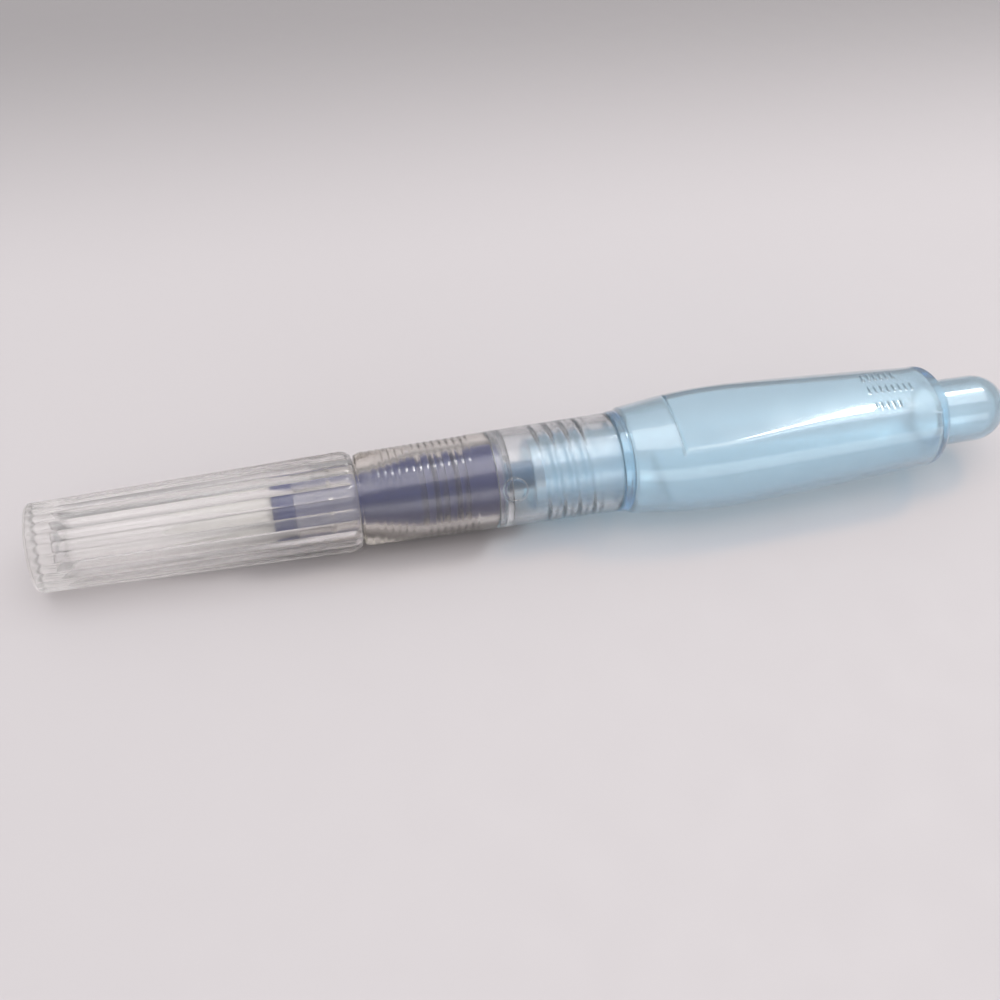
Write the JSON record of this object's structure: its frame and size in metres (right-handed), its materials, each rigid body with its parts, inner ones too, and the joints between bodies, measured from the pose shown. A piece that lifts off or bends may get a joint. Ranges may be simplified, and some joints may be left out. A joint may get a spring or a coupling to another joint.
{
  "type": "water brush pen",
  "caption": "Compact water brush pen: fluted clear cap over a filament tuft, ridged clear grip with dark feed, clear threaded collar and squeezable blue bottle barrel.",
  "frame": {"origin": "on the pen's long axis, half way between the closed end of the cap and the tip of the tail nub", "axes": "+X along the pen from the cap to the tail nub; +Z out of the bottle's upper flat; +Y completes the right-handed frame"},
  "size_m": [0.118, 0.0152, 0.0134],
  "materials": {
    "clear_cap": "lightly frosted clear plastic",
    "clear_grip": "glossy clear plastic with a warm tint",
    "clear_collar": "lightly frosted clear plastic",
    "navy_feed": "satin dark navy plastic",
    "blue_plug": "satin steel blue plastic",
    "filament": "fine white synthetic filament",
    "blue_bottle": "glossy translucent light blue soft plastic"
  },
  "bodies": {
    "bottle": {"barrel": "blue_bottle"},
    "feed": {"feed_core": "navy_feed", "flow_plug": "blue_plug"},
    "head": {"grip_section": "clear_grip", "threaded_collar": "clear_collar", "tuft_root": "filament", "tuft_lock_01": "filament", "tuft_lock_02": "filament", "tuft_lock_03": "filament", "tuft_lock_04": "filament", "tuft_lock_05": "filament", "tuft_lock_06": "filament", "tuft_lock_07": "filament", "tuft_lock_08": "filament", "tuft_lock_09": "filament", "tuft_lock_10": "filament", "tuft_lock_11": "filament", "tuft_lock_12": "filament", "tuft_lock_13": "filament", "tuft_lock_14": "filament", "tuft_lock_15": "filament", "tuft_lock_16": "filament", "tuft_lock_17": "filament", "tuft_lock_18": "filament", "tuft_lock_19": "filament"},
    "cap": {"cap": "clear_cap"}
  },
  "joints": [
    {"name": "head_advance", "type": "slide", "parent": "bottle", "child": "feed", "axis": [-1, 0, 0], "range_m": [0, 0.0108]},
    {"name": "head_unscrew", "type": "hinge", "parent": "feed", "child": "head", "pos_m": [0, 0, 0], "axis": [-1, 0, 0], "range_deg": [0, 2161]},
    {"name": "cap_pull", "type": "slide", "parent": "head", "child": "cap", "axis": [-1, 0, 0], "range_m": [0, 0.04]}
  ],
  "couplings": [
    {"joint": "head_unscrew", "follows": "head_advance", "rad_per_m": 3490.7}
  ]
}
